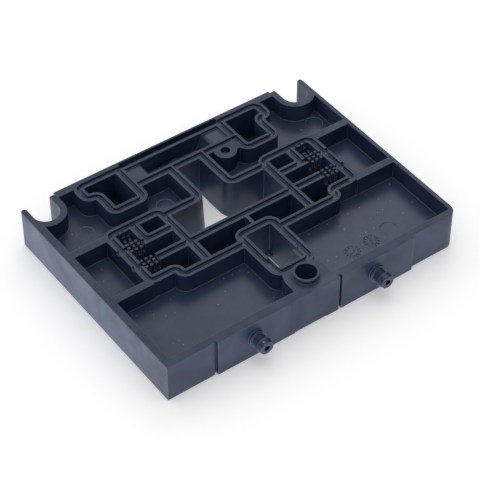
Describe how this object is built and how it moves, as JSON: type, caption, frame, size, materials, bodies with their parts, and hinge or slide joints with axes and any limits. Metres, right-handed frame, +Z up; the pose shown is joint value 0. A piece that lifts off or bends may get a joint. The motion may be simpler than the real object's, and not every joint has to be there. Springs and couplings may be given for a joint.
{
  "type": "moulded pneumatic module housing",
  "caption": "Flat moulded plastic housing with a seal-grooved wall network, open side pockets, a T-shaped window, a ring port and two barbed hose nozzles.",
  "frame": {"origin": "bottom centre of the box round the whole part", "axes": "+X along the long side, +Y from the nozzles to the notched back, +Z up towards the open seal face"},
  "size_m": [0.1, 0.0798, 0.0141],
  "materials": {
    "housing_plastic": "fine moulded satin, dark blue-grey"
  },
  "bodies": {
    "root": {"housing": "housing_plastic"}
  },
  "joints": []
}
